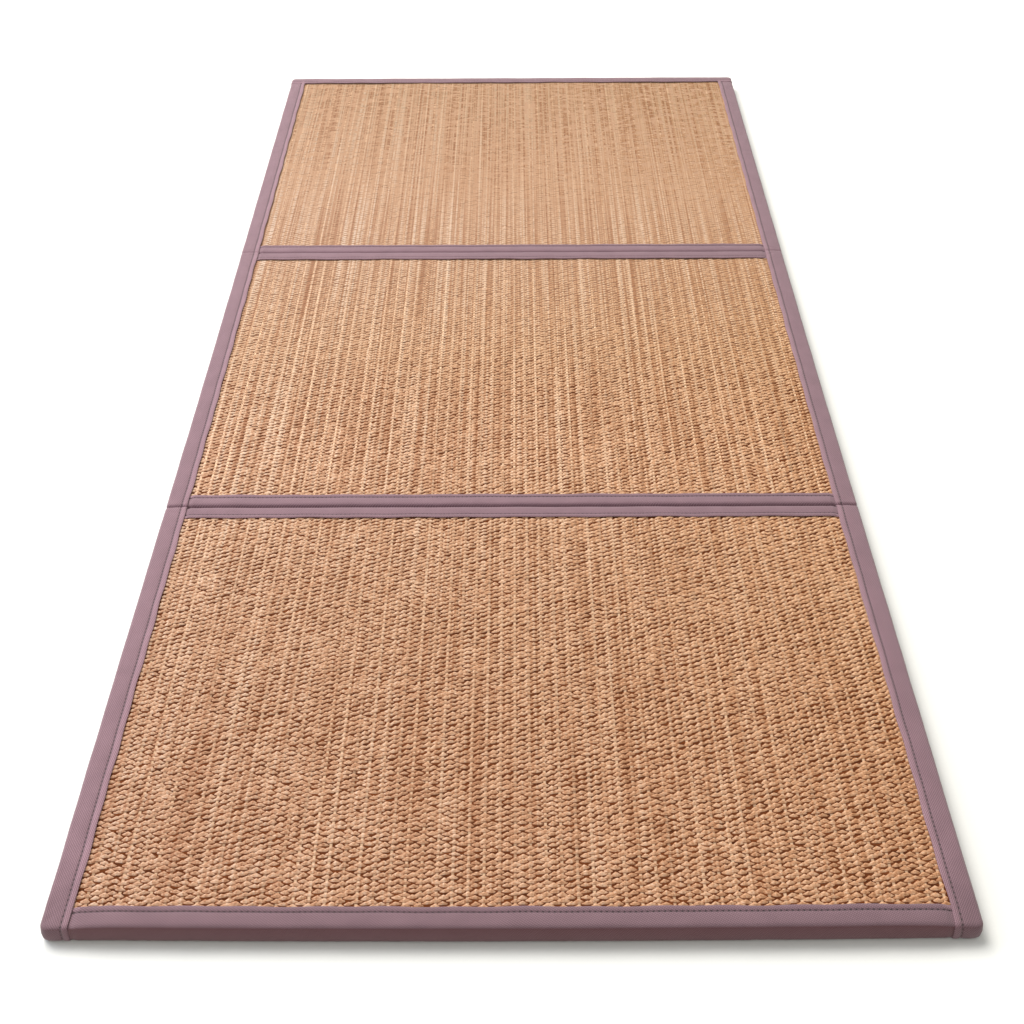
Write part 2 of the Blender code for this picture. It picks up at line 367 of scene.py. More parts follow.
# Four numbers in these dictionaries are two places, along the mat where nothing else is said, and the
# value at each. Between them it goes over evenly.
groundLook = {
    # painted shade: the dark browns of the pits between the floats
    "shades": ((0.3, "#45200a"), (0.7, "#703c1c")),
    "grain": (60.0, 300.0, 60.0),     # per metre: the rows are close, the stems long
    "filled": (-0.1, 0.5, 0.0, 0.95),      # less painted shade towards the far end, where the weave is flatter
    "farGroundColour": "#b18f74",
    "thread": "#e8c8a6",
    "threadBand": (0.06, 0.12, 1.0, 0.0),  # across two warps, from a thread's middle
    "threadNear": (nearFoldY - 0.1, nearFoldY + 0.1, 0.7, 1.0),
    "threadFar": (0.1, farFoldY + 0.2, 1.0, 0.35),
    "patches": (45.0, 1.5, 0.0),      # per metre
    "patchy": (0.35, 0.6, 0.35, 1.0),
}


def groundWeave():  # the hidden under side of the rush: matt, painted dark brown as the shade in the pits between the floats, ribbed by the rows
    look = groundLook
    material, add, shader = newMaterial("rush ground")
    place = add("ShaderNodeTexCoord").outputs["Object"]
    x, y, _ = add("ShaderNodeSeparateXYZ", (place,)).outputs
    stretched = add("ShaderNodeMapping", {"Vector": place, "Scale": look["grain"]})
    grain = add("ShaderNodeTexNoise", {"Vector": stretched, "Scale": 1.0, "Detail": 4.0})
    pitShade = add("ShaderNodeValToRGB", (grain,), stops=look["shades"])
    filled = add("ShaderNodeMapRange", (y, *look["filled"]))
    base = add("ShaderNodeMix", {0: filled, 6: pitShade, 7: linear(look["farGroundColour"])}, data_type="RGBA")

    # pale warp threads, seen at the bottom of the pits between the floats
    count = add("ShaderNodeMath", (x, 0.5 / weave["warpSpacing"], 0.25), operation="MULTIPLY_ADD")
    within = add("ShaderNodeMath", (count, 1.0), operation="FLOORED_MODULO")
    within = add("ShaderNodeMath", (within, 0.5), operation="SUBTRACT")
    within = add("ShaderNodeMath", (within,), operation="ABSOLUTE")
    thread = add("ShaderNodeMapRange", (within, *look["threadBand"]))
    clear = add("ShaderNodeMapRange", (y, *look["threadNear"]))
    sunken = add("ShaderNodeMapRange", (y, *look["threadFar"]))
    clear = add("ShaderNodeMath", (clear, sunken), operation="MULTIPLY")
    lengthwise = add("ShaderNodeMapping", {"Vector": place, "Scale": look["patches"]})
    patchy = add("ShaderNodeTexNoise", {"Vector": lengthwise, "Scale": 1.0, "Detail": 1.0})
    patchy = add("ShaderNodeMapRange", (patchy, *look["patchy"]))
    clear = add("ShaderNodeMath", (clear, patchy), operation="MULTIPLY")
    thread = add("ShaderNodeMath", (thread, clear), operation="MULTIPLY")
    colour = add("ShaderNodeMix", {0: thread, 6: base, 7: linear(look["thread"])}, data_type="RGBA")
    ribs = add("ShaderNodeBump", {"Height": grain, "Strength": 0.6, "Distance": 0.001})
    setInputs(shader, {"Base Color": colour, "Normal": ribs, "Roughness": 0.85, "Specular IOR Level": 0.1})
    return material


def backingCloth():  # bonded cotton backing: pale, dull, with a faint thread grid
    material, add, shader = newMaterial("cotton backing")
    place = add("ShaderNodeTexCoord").outputs["Object"]
    threads = add("ShaderNodeTexVoronoi", {"Vector": place, "Scale": 600.0})   # 1.7 mm
    slubs = add("ShaderNodeTexNoise", {"Vector": place, "Scale": 90.0, "Detail": 5.0, "Roughness": 0.7})
    colour = add("ShaderNodeValToRGB", (slubs,), stops=((0.3, "#b9a88d"), (0.7, "#cdbfa6")))
    ribs = add("ShaderNodeBump", {"Height": threads, "Strength": 0.4, "Distance": 0.0005})
    setInputs(shader, {"Base Color": colour, "Normal": ribs, "Roughness": 0.9})
    return material


def wavesAt(x, y):
    across, along, aslantX, aslantY = padShape["waveTurns"]
    straight = np.sin(across * x + 2.0) * np.sin(along * y + 0.7)
    aslant = 0.6 * np.sin(aslantX * x - aslantY * y + 1.1)
    return padShape["waveHeight"] * (straight + aslant) * (1 - underSideTape(x))


def exposedAt(x, y):  # 1 where the rush shows, 0 under the tapes
    return 1 - smoothStep((pastLips(x, y) - mat["lipRoom"]) / mat["rushEdge"] / 2 + 0.5)


def makePad(name, node, low, high, materials):
    layer, room, lipSteps = mat["layer"], mat["padGrooveRoom"], padShape["lipSteps"]
    side = halfWidth - layer
    edge = arcSteps(mat["cornerRadius"], 4)
    xs = [-side + step for step in edge] + [side - step for step in edge] + [-side, side]
    xs += [sign * (sideLip - step) for sign in (-1, 1) for step in lipSteps]
    ys = [low[0] + step for step in edge] + [high[0] - step for step in edge]
    for foldY, _ in folds:
        ys += [foldY + share * (mat["grooveHalf"] + room) for share in grooveShares]
        ys += [foldY + sign * (mat["foldReach"] + step) for sign in (-1, 1) for step in lipSteps]
    ys += [nearLip + step for step in lipSteps] + [farLip - step for step in lipSteps]
    ys = [y for y in ys if low[0] < y < high[0]] + [low[0], high[0]]
    lines = [mergeLines(evenLines(-side, side, padShape["step"]), set(xs), padShape["nearest"]),
             mergeLines(evenLines(low[0], high[0], padShape["step"]), set(ys), padShape["nearest"]),
             rimHeights()]
    points, quads, _ = shellGrid(lines, list(boxSides))

    beside, atEnd = underSideTape(points[:, 0]), underEndTape(points[:, 1])
    x, y, z = roundOff(points, layer, mat["rimRadius"], low, high).T
    height = 2 * z / thickness - 1
    pressed = layer + layer * beside * np.maximum(atEnd, underFoldTape(y)) + grooveAt(y, room=room)
    pressed = pressed - crownAt(x, y) - wavesAt(x, y)
    pressed = pressed + mat["rushHeight"] * exposedAt(x, y)
    lifted = layer * (np.maximum(beside, atEnd) + beside * atEnd)
    corner = layer * beside * atEnd
    z = z - np.where(height > 0, pressed, lifted) * height
    points = settle(np.stack([x - np.sign(x) * corner, y - np.sign(y) * corner, z], 1))

    pad = pieceFromPoints(name, points, quads, materials)
    for face in pad.data.polygons:
        face.material_index = 1 if face.normal.z < -0.5 else 0
    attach(pad, "root")
    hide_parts(node)
    return pad


# Rush facing: each weft shows as floats over every other warp, a half step on in the next row.

weave = {
    "warpSpacing": 0.00775,
    "rowSpacing": 0.0034,
    "floatLength": 0.0150,
    "floatWidth": 0.0062,
    "floatHeight": 0.0022,
    "tilt": 0.17,              # radians: the stems twist, so each float climbs to the right
    "seed": 7,
    "past": 0.005,             # how far the floats run on under the tapes
    "sunk": 0.0005,            # and how far they stand in the ground weave
    "sunkUnderTape": 0.5,      # share of their height, where a tape presses on them
    "wander": (0.004, 0.010, 0.0),   # the warps and rows drift together by this much
    "wanderScale": 9.0,        # per metre: over a hand's breadth
    "jitter": ((-0.0010, -0.0008, -0.0002), (0.0010, 0.0008, 0.0002)),
    "sizes": ((0.80, 0.82, 0.80), (1.10, 1.16, 1.14)),   # shares of length, width and height
    "twist": 0.14,
    "lean": (0.35, 0.65, 0.2, 1.4),                       # share of the tilt, from a noise
    "leanScale": 14.0,                                    # of 7 cm
    "level": (frontY, frontY + 0.22, 0.1, 1.0),           # the near end's floats lie level
    "calm": (nearFoldY, farFoldY, 1.0, 0.25),             # and far ones lean less
    "flatter": (-0.2, 0.6, 1.0, 0.20),
    "alternate": (nearFoldY - 0.06, nearFoldY + 0.16, 0.0, 1.0),   # beyond, each second row is lower
    "alternateDrop": -0.10,
    "alternateTone": (0.1, 0.5, -0.14, -0.06),            # and darker
    # painted light: the stems are paler from the near end up to y -0.2
    "tone": (-0.8, -0.2, 0.48, 0.58),
    "ownTone": 0.07,
    "stains": 0.2,
    "stainScale": (28.0, 14.0, 0.0),       # per metre
    "warpStripes": (-0.3, 0.5, 0.45, 0.65),
    "stripeScale": (1.7, 2.5, 0.0),        # per warp across, per metre along
}

rushLook = {  # the darkest stems, the common colour and the palest, at the left and the right side; the left's paler, pinker colours are painted sheen from the light at the left
    "left": ((0.05, "#b8896c"), (0.50, "#dcb698"), (0.95, "#f2dcc8")),
    "right": ((0.05, "#b68661"), (0.50, "#d9ae88"), (0.95, "#efd0b2")),
    "creviceShade": "#6e2e0c",                  # painted shade where a float dives and along its near edge
    # the painted crevice shade fades out towards the far end
    "creviceFade": (-0.2, 0.5, 0.0, 0.95),
    "nearEdge": (0.02, 0.13, 0.15, 1.0),   # unshaded share across a float; the rest gets painted shade along its near edge
    "beyond": (0.20, 0.36, 0.0, 0.85),     # and out from its middle, where its near edge gets no painted shade either
    "ends": (0.34, 0.48, 1.0, 0.65),
    "fibres": (2.4, 1.9, 1.0),             # flecks along a float, ridges across it: fewer than real, to show
    "fibreScale": 2.2,
    "apart": 40.0,                         # moves each float's flecks on by its tone
    "streaks": (-0.3, 0.4, 2.6, 0.6),      # their contrast
    "stripes": (-0.3, 0.4, 1.10, 2.20),    # contrast of the stripes along the mat
    "stripeScale": (1 / 0.0031, 1.8, 0.0),   # 3.1 mm wide and half a metre long
    "wear": ((-0.95, "#ebe2dc"), (-0.60, "#eee6de"), (-0.25, "#f6f0e9"), (0.0, "#ece7dd"),
             (0.35, "#dad6d3"), (0.60, "#cbc3bb"), (0.90, "#beb5a9")),  # painted shade along the mat: palest a little short of the middle, darker at the near end, darker and greyer towards the far end
    "roughness": 0.7,
    "gloss": 0.15,                         # the wax is nearly worn off
}


def driedRush():  # dried rush stem: a faint waxy gloss on matt ribs that run along each float
    look = rushLook
    material, add, shader = newMaterial("dried rush")
    strandPlace = add("ShaderNodeUVMap", uv_map="strand")
    tone = add("ShaderNodeAttribute", attribute_name="tone").outputs["Fac"]
    place = add("ShaderNodeTexCoord").outputs["Object"]
    x, y, _ = add("ShaderNodeSeparateXYZ", (place,)).outputs
    stretched = add("ShaderNodeMapping", {"Vector": strandPlace, "Scale": look["fibres"]})
    apart = add("ShaderNodeMath", (tone, look["apart"]), operation="MULTIPLY")
    apart = add("ShaderNodeCombineXYZ", {"Z": apart})   # no two floats streaked alike
    shifted = add("ShaderNodeVectorMath", (stretched, apart), operation="ADD")
    fibres = add("ShaderNodeTexNoise", {
        "Vector": shifted, "Scale": look["fibreScale"], "Detail": 3.0, "Roughness": 0.8})
    fromMean = add("ShaderNodeMath", (fibres, 0.5), operation="SUBTRACT")
    streaked = add("ShaderNodeMapRange", (y, *look["streaks"]))
    level = add("ShaderNodeMath", (fromMean, streaked, tone), operation="MULTIPLY_ADD")

    # the warps show as fine stripes along the mat, more so towards its far end
    lengthwise = add("ShaderNodeMapping", {"Vector": place, "Scale": look["stripeScale"]})
    warps = add("ShaderNodeTexNoise", {"Vector": lengthwise, "Scale": 1.0, "Detail": 1.0})
    warps = add("ShaderNodeMath", (warps, 0.5), operation="SUBTRACT")
    striped = add("ShaderNodeMapRange", (y, *look["stripes"]))
    level = add("ShaderNodeMath", (warps, striped, level), operation="MULTIPLY_ADD")
    # painted sheen: the stems are paler and pinker at the left, warmer at the right
    left, right = [add("ShaderNodeValToRGB", (level,), stops=look[side]) for side in ("left", "right")]
    across = add("ShaderNodeMapRange", (x, -sideLip, sideLip))
    stemColour = add("ShaderNodeMix", {0: across, 6: left, 7: right}, data_type="RGBA")

    # painted shade: each float keeps its own colour on its crown and is painted darker along its near edge
    # and towards its ends, where shade falls
    alongFloat, acrossFloat, _ = add("ShaderNodeSeparateXYZ", (strandPlace,)).outputs
    nearEdge = add("ShaderNodeMapRange", (acrossFloat, *look["nearEdge"]))
    fromMiddle = add("ShaderNodeMath", (alongFloat, 0.5), operation="SUBTRACT")
    fromMiddle = add("ShaderNodeMath", (fromMiddle,), operation="ABSOLUTE")
    ends = add("ShaderNodeMapRange", (fromMiddle, *look["ends"]))
    beyond = add("ShaderNodeMapRange", (fromMiddle, *look["beyond"]))
    unshadedShare = add("ShaderNodeMath", (nearEdge, beyond), operation="MAXIMUM")
    unshadedShare = add("ShaderNodeMath", (unshadedShare, ends), operation="MULTIPLY")
    fade = add("ShaderNodeMapRange", (y, *look["creviceFade"]))
    unshadedShare = add("ShaderNodeMath", (unshadedShare, fade), operation="MAXIMUM")
    colour = add("ShaderNodeMix", {0: unshadedShare, 6: linear(look["creviceShade"]), 7: stemColour}, data_type="RGBA")
    # painted shade along the mat, multiplied into the stems' colour
    alongMat = add("ShaderNodeMapRange", (y, frontY, backY))
    wear = add("ShaderNodeValToRGB", (alongMat,), stops=[
        ((stopY - frontY) / (backY - frontY), stopColour) for stopY, stopColour in look["wear"]])
    shadedAlong = add("ShaderNodeVectorMath", (colour, wear), operation="MULTIPLY")
    ribs = add("ShaderNodeBump", {"Height": fibres, "Strength": 0.5, "Distance": 0.0006})
    setInputs(shader, {"Base Color": shadedAlong, "Normal": ribs, "Roughness": look["roughness"],
                       "Specular IOR Level": look["gloss"]})
    return material


def makeStrand():  # one float: from above a pointed leaf, from the side an arch, with its uv along and across
    crest = ((-0.5, 0.0), (-0.44, 0.42), (0.04, 1.0), (0.5, 0.2))   # across, up
    flank = ((-0.5, -0.1), (-0.15, 1.0))                            # its far side is never seen
    rings = ((-0.34, 0.84, 0.74, flank), (0.0, 1.0, 1.0, crest), (0.34, 0.84, 0.74, flank))
    points, uvs = [(-0.5, 0.0, -0.5), (0.5, 0.0, -0.5)], [(0.0, 0.5), (1.0, 0.5)]
    for along, width, height, section in rings:
        for across, up in section:
            points.append((along, across * width, up * height))
            uvs.append((along + 0.5, across + 0.5))
    shape = bmesh.new()
    for point in points:
        shape.verts.new(point)
    bmesh.ops.convex_hull(shape, input=shape.verts)
    bmesh.ops.recalc_face_normals(shape, faces=shape.faces)
    mesh = bpy.data.meshes.new("strand")
    shape.to_mesh(mesh)
    shape.free()
    mesh.shade_smooth()
    mesh.set_sharp_from_angle(angle=math.radians(55))
    layer = mesh.uv_layers.new(name="strand")
    for loop in mesh.loops:
        layer.data[loop.index].uv = uvs[loop.vertex_index]
    return newObject("strand", mesh)


rushSizes = ("warpSpacing", "rowSpacing", "floatLength", "floatWidth", "floatHeight", "tilt")


def buildRushTree():
    tree, add, given = newTree("rush facing", {
        **dict.fromkeys(("start", "width", "length") + rushSizes, "Float"),
        "seed": "Int", "strand": "Object", "finish": "Material"})

    # a lattice of points, counted from the sizes, with every other row a warp further on
    step = add("ShaderNodeMath", (given["warpSpacing"], 2.0), operation="MULTIPLY")
    across = add("ShaderNodeMath", (given["width"], step), operation="DIVIDE")
    rows = add("ShaderNodeMath", (given["length"], given["rowSpacing"]), operation="DIVIDE")
    acrossWhole = add("ShaderNodeMath", (across,), operation="CEIL")
    rowsWhole = add("ShaderNodeMath", (rows,), operation="CEIL")
    count = add("ShaderNodeMath", (acrossWhole, rowsWhole), operation="MULTIPLY")
    lattice = add("GeometryNodePoints", {"Count": count})
    index = add("GeometryNodeInputIndex")
    row = add("ShaderNodeMath", (index, acrossWhole), operation="DIVIDE")
    row = add("ShaderNodeMath", (row,), operation="FLOOR")
    place = add("ShaderNodeMath", (index, acrossWhole), operation="FLOORED_MODULO")
    odd = add("ShaderNodeMath", (row, 2.0), operation="FLOORED_MODULO")
    warp = add("ShaderNodeMath", (place, 2.0, odd), operation="MULTIPLY_ADD")
    half = add("ShaderNodeMath", (acrossWhole, -1.0, 0.5), operation="MULTIPLY_ADD")
    x = add("ShaderNodeMath", (warp, half), operation="ADD")
    x = add("ShaderNodeMath", (x, given["warpSpacing"]), operation="MULTIPLY")
    y = add("ShaderNodeMath", (row, given["rowSpacing"], given["start"]), operation="MULTIPLY_ADD")
    even = add("ShaderNodeCombineXYZ", (x, y))

    # the warps and rows wander together over a hand's breadth, and each float sits a little off
    drift = add("ShaderNodeTexNoise", {"Vector": even, "Scale": weave["wanderScale"], "Detail": 2.0})
    drift = add("ShaderNodeVectorMath", (drift.outputs["Color"], (0.5, 0.5, 0.5)), operation="SUBTRACT")
    drift = add("ShaderNodeVectorMath", (drift, weave["wander"]), operation="MULTIPLY")
    seeds = [add("ShaderNodeMath", (given["seed"], draw), operation="ADD") for draw in (1.0, 2.0, 3.0, 4.0)]
    low, high = weave["jitter"]
    jitter = add("FunctionNodeRandomValue", {0: low, 1: high, "Seed": seeds[0]}, data_type="FLOAT_VECTOR")
    moved = add("ShaderNodeVectorMath", (drift, jitter), operation="ADD")
    spot = add("ShaderNodeVectorMath", (even, moved), operation="ADD")

    # size and tilt of each float
    between = add("ShaderNodeMapRange", (y, *weave["alternate"]))
    between = add("ShaderNodeMath", (between, odd), operation="MULTIPLY")
    flatter = add("ShaderNodeMapRange", (y, *weave["flatter"]))
    lower = add("ShaderNodeMath", (between, weave["alternateDrop"], flatter), operation="MULTIPLY_ADD")
    height = add("ShaderNodeMath", (given["floatHeight"], lower), operation="MULTIPLY")
    size = add("ShaderNodeCombineXYZ", (given["floatLength"], given["floatWidth"], height))
    low, high = weave["sizes"]
    vary = add("FunctionNodeRandomValue", {0: low, 1: high, "Seed": seeds[1]}, data_type="FLOAT_VECTOR")
    size = add("ShaderNodeVectorMath", (size, vary), operation="MULTIPLY")
    lean = add("ShaderNodeTexNoise", {"Vector": even, "Scale": weave["leanScale"], "Detail": 1.0})
    lean = add("ShaderNodeMapRange", (lean, *weave["lean"]))
    for change in ("level", "calm"):
        changed = add("ShaderNodeMapRange", (y, *weave[change]))
        lean = add("ShaderNodeMath", (lean, changed), operation="MULTIPLY")
    twist = add("FunctionNodeRandomValue", {2: -weave["twist"], 3: weave["twist"], "Seed": seeds[2]})
    angle = add("ShaderNodeMath", (given["tilt"], lean, twist), operation="MULTIPLY_ADD")
    turn = add("ShaderNodeCombineXYZ", {"Z": angle})

    # colour: each stem's own tone, broad stains, the warps' own stripes, the second rows' tone, and painted
    # light along the mat
    own = add("FunctionNodeRandomValue", {2: -weave["ownTone"], 3: weave["ownTone"], "Seed": seeds[3]})
    own = add("ShaderNodeMath", (own, flatter), operation="MULTIPLY")
    stain = add("ShaderNodeVectorMath", (even, weave["stainScale"]), operation="MULTIPLY")
    stain = add("ShaderNodeTexNoise", {"Vector": stain, "Scale": 1.0, "Detail": 2.0})
    stain = add("ShaderNodeMath", (stain, 0.5), operation="SUBTRACT")
    stain = add("ShaderNodeMath", (stain, flatter), operation="MULTIPLY")
    stripe = add("ShaderNodeCombineXYZ", (warp, y))
    stripe = add("ShaderNodeVectorMath", (stripe, weave["stripeScale"]), operation="MULTIPLY")
    stripe = add("ShaderNodeTexNoise", {"Vector": stripe, "Scale": 1.0, "Detail": 1.0})
    stripe = add("ShaderNodeMath", (stripe, 0.5), operation="SUBTRACT")
    striped = add("ShaderNodeMapRange", (y, *weave["warpStripes"]))
    fainter = add("ShaderNodeMapRange", (y, *weave["alternateTone"]))
    paintedLightAlong = add("ShaderNodeMapRange", (y, *weave["tone"]))
    tone = add("ShaderNodeMath", (stain, weave["stains"], own), operation="MULTIPLY_ADD")
    tone = add("ShaderNodeMath", (stripe, striped, tone), operation="MULTIPLY_ADD")
    tone = add("ShaderNodeMath", (between, fainter, tone), operation="MULTIPLY_ADD")
    tone = add("ShaderNodeMath", (tone, paintedLightAlong), operation="ADD")

    # everything above is read off the even lattice, so it is moved to its spots last
    toned = add("GeometryNodeStoreNamedAttribute", {
        "Geometry": lattice, "Name": "tone", "Value": tone}, data_type="FLOAT", domain="POINT")
    placed = add("GeometryNodeSetPosition", {"Geometry": toned, "Position": spot})
    shape = add("GeometryNodeObjectInfo", {"Object": given["strand"]}).outputs["Geometry"]
    layCopies(add, placed, shape, turn, size, given["finish"])
    return tree


def makeFacing(name, pad, low, high, tree, strand, finish):
    mesh = runTree(name, tree, {
        **{key: weave[key] for key in rushSizes + ("seed",)}, "start": low - weave["past"],
        "width": 2 * (sideLip + weave["past"]), "length": high - low + 2 * weave["past"],
        "strand": strand, "finish": finish})
    points = np.zeros(len(mesh.vertices) * 3, np.float32)
    mesh.vertices.foreach_get("co", points)
    x, y, z = points.reshape(-1, 3).astype(float).T
    under = 1 - exposedAt(x, y)
    flatter = np.interp(y, weave["flatter"][:2], weave["flatter"][2:])
    base = thickness - mat["layer"] - mat["rushHeight"] - weave["sunk"] * flatter
    z = z * (1 - weave["sunkUnderTape"] * under) + base + crownAt(x, y) + wavesAt(x, y)
    points = settle(np.stack([x, y, z], 1))
    mesh.vertices.foreach_set("co", points.astype(np.float32).ravel())
    mesh.update()
    newObject(name, mesh, pad)
    print(name, "has", len(mesh.vertices), "points")


# Tapes: mauve twill folded round every edge and laid over the folds, hemmed and topstitched

tape = {
    "step": 0.0075,            # mesh lines along a tape, one for each stitch
    "nearest": 0.0015,         # and no two closer than this
    "fineStep": 0.0018,        # mesh lines beside folds and ends, where it creases
    "fineNearest": 0.0006,
    "fineRun": 0.015,
    "hem": 0.0060,             # from the lip to the row of stitches
    "sideHem": 0.0074,
    "stitchPitch": 0.0056,
    "stitchLength": 0.0038,
    "threadRadius": 0.00035,
    "threadRise": 0.0001,
    "hemRise": 0.00055,        # the turned-in hem stands up as a bead
    "seamDepth": 0.00060,
    "seamSpread": 0.0008,
    "cornerPinch": 0.0012,     # the side tapes' lips turn out this much at the near corners
    "pinchAt": 0.015,          # this far from the near end
    "pinchRuns": (0.05, 0.03), # before and past that
    "padding": 0.00035,        # swell between the stitches and the rim
    "paddingFrom": 0.006,      # it rises over this much past the seam
    "paddingEnd": (0.014, 0.008),   # and falls here, over this much
    "lipDrop": 0.00045,
    "lipRound": 0.0012,
    "lipWave": 0.00045,
    "lipWaveRun": 0.006,
    "crossingRise": 0.00045,   # where another tape's end lies under it
    "crossingRun": 0.004,
    "unevenness": 0.00018,
    "slowTurns": (57, 23, 90),          # radians per metre
    "quickTurns": (210, 260, 141, 170),
    "lipTurns": (95, 41),
    "topFrom": 0.3,            # a face is on top where its normal points up more than this
    "underFrom": -0.9,         # and underneath where it points down more than this
    "drawUnder": 0.2,          # share of a layer that the side tapes draw in under the far end's tape
    "sinkUnder": 0.5,          # and sink there
    "frontDraw": 0.5,          # the near end's tape draws in so much under the side tapes
    "frontLift": 0.2,          # and its lower lip lifts so much
}

# creases on the top of the tapes: x, y, turn in degrees, half length, half width, height
creases = (
    (-0.443, -0.990, 38, 0.009, 0.0016, -0.0006),
    (-0.436, -0.983, 52, 0.007, 0.0014, -0.0005),
    (0.434, 0.281, 35, 0.010, 0.0016, -0.0006),
    (0.431, 0.274, 28, 0.009, 0.0014, 0.0005),
    (0.437, 0.298, -30, 0.009, 0.0016, -0.0005),
    (0.431, 0.306, -42, 0.008, 0.0014, 0.0004),
    (0.430, 0.968, 62, 0.011, 0.0016, -0.0006),
    (0.437, 0.955, 70, 0.012, 0.0015, 0.0005),
    (-0.433, 0.281, -24, 0.009, 0.0018, -0.0004),
    (-0.436, -0.384, -20, 0.011, 0.0018, -0.0005),
    (0.436, -0.387, 16, 0.011, 0.0018, -0.0005),
    (0.433, -0.356, -18, 0.009, 0.0016, 0.0004),
)

tapeLook = {
    "shades": ((0.0, "#573f49"), (1.0, "#9b7b85")),
    "waleTurns": (32, -58),
    "waleScale": 165.0,        # 1.9 mm apart, about twice the real spacing so that they show
    "threadScale": 900.0,      # 1.1 mm, coarser than real so that they show
    "wearScale": 35.0,         # patches of 3 cm
    "seamShade": (0.0002, 0.0012, 0.50, 1.0),       # painted shade out from a seam, in its crease
    "holeShade": (0.0004, 0.0013, 0.35, 1.0),       # painted shade out from where the thread goes in
    "sideHems": (sideLip - 0.006, sideLip - 0.005),   # out from the middle line
    "hemBand": (-0.0012, -0.0026),             # from the seam to the lip
    "paintedLight": 0.28,                            # painted highlight: the side hems are paler by this share
    # painted shade: the tapes are darker at the near end
    "nearShade": (frontY, frontY + 0.08, 0.81, 1.0),
    # painted light: lighter at the left side, darker at the right
    "across": (-halfWidth, halfWidth, 1.04, 0.94),
    "edgeShade": (0.0222, 0.0250, 0.66, 0.0),   # painted shade, darker down the edge
    "sideShadeShare": 0.5,                          # the side tapes' edges get less of that painted shade
    "edgeShadeColour": "#561a1e",
}


def twillTape():  # cotton twill: matt, with a soft sheen at grazing angles and fine diagonal wales
    look = tapeLook
    material, add, shader = newMaterial("mauve twill tape")
    cloth = add("ShaderNodeUVMap", uv_map="cloth")
    fromSeam, alongSeam, _ = add("ShaderNodeSeparateXYZ", (add("ShaderNodeUVMap", uv_map="seam"),)).outputs
    waves = []
    for turn in look["waleTurns"]:
        turned = add("ShaderNodeMapping", {"Vector": cloth, "Rotation": (0.0, 0.0, math.radians(turn))})
        waves.append(add("ShaderNodeTexWave", {
            "Vector": turned, "Scale": look["waleScale"], "Distortion": 1.2, "Detail": 1.0,
            "Detail Scale": 2.0}).outputs["Fac"])
    wales = add("ShaderNodeMath", (waves[1], 0.6, waves[0]), operation="MULTIPLY_ADD")
    threads = add("ShaderNodeTexNoise", {
        "Vector": cloth, "Scale": look["threadScale"], "Detail": 2.0, "Roughness": 0.7})
    wear = add("ShaderNodeTexNoise", {"Vector": cloth, "Scale": look["wearScale"], "Detail": 4.0})
    relief = add("ShaderNodeMath", (threads, 0.6, wales), operation="MULTIPLY_ADD")
    shade = add("ShaderNodeMath", (wear, 0.7, relief), operation="MULTIPLY_ADD")
    shade = add("ShaderNodeMapRange", (shade, 0.2, 2.4))
    plain = add("ShaderNodeValToRGB", (shade,), stops=look["shades"])

    # painted shade in the seams' crease and in the needle holes
    fromRow = add("ShaderNodeMath", (fromSeam,), operation="ABSOLUTE")
    seamShade = add("ShaderNodeMapRange", (fromRow, *look["seamShade"]), interpolation_type="SMOOTHSTEP")
    fromHole = add("ShaderNodeMath", (alongSeam, tape["stitchPitch"]), operation="DIVIDE")
    fromHole = add("ShaderNodeMath", (fromHole, 1.0), operation="FLOORED_MODULO")
    fromHole = add("ShaderNodeMath", (fromHole, 0.5), operation="SUBTRACT")
    fromHole = add("ShaderNodeMath", (fromHole, tape["stitchPitch"]), operation="MULTIPLY")
    fromHole = add("ShaderNodeCombineXYZ", (fromRow, fromHole))
    fromHole = add("ShaderNodeVectorMath", (fromHole,), operation="LENGTH")
    holeShade = add("ShaderNodeMapRange", (fromHole, *look["holeShade"]), interpolation_type="SMOOTHSTEP")
    pitted = add("ShaderNodeMath", (seamShade, holeShade), operation="MULTIPLY")
    colour = add("ShaderNodeVectorMath", (plain, pitted), operation="MULTIPLY")

    # painted light: the side hems are painted pale as a highlight, the near end and the right side darker as
    # painted shade, and the edges darker downwards as painted shade
    x, y, _ = add("ShaderNodeSeparateXYZ", (add("ShaderNodeTexCoord").outputs["Object"],)).outputs
    aside = add("ShaderNodeMath", (x,), operation="ABSOLUTE")
    onSide = add("ShaderNodeMapRange", (aside, *look["sideHems"]))
    onHem = add("ShaderNodeMapRange", (fromSeam, *look["hemBand"]))
    paintedLight = add("ShaderNodeMath", (onSide, onHem), operation="MULTIPLY")
    paintedLight = add("ShaderNodeMath", (paintedLight, look["paintedLight"], 1.0), operation="MULTIPLY_ADD")
    for place, change in ((y, "nearShade"), (x, "across")):
        changed = add("ShaderNodeMapRange", (place, *look[change]))
        paintedLight = add("ShaderNodeMath", (paintedLight, changed), operation="MULTIPLY")
    colour = add("ShaderNodeVectorMath", (colour, paintedLight), operation="MULTIPLY")
    # painted shade down the outer edge
    height = add("ShaderNodeAttribute", attribute_name="level").outputs["Fac"]
    edgeShaded = add("ShaderNodeMapRange", (height, *look["edgeShade"]))
    share = add("ShaderNodeAttribute", attribute_name="edgeShading").outputs["Fac"]
    edgeShaded = add("ShaderNodeMath", (edgeShaded, share), operation="MULTIPLY")
    colour = add("ShaderNodeMix", {0: edgeShaded, 6: colour, 7: linear(look["edgeShadeColour"])}, data_type="RGBA")
    ribs = add("ShaderNodeBump", {"Height": relief, "Strength": 0.45, "Distance": 0.0006})
    setInputs(shader, {"Base Color": colour, "Normal": ribs, "Roughness": 0.85, "Sheen Weight": 0.25,
                       "Sheen Roughness": 0.5})
    return material


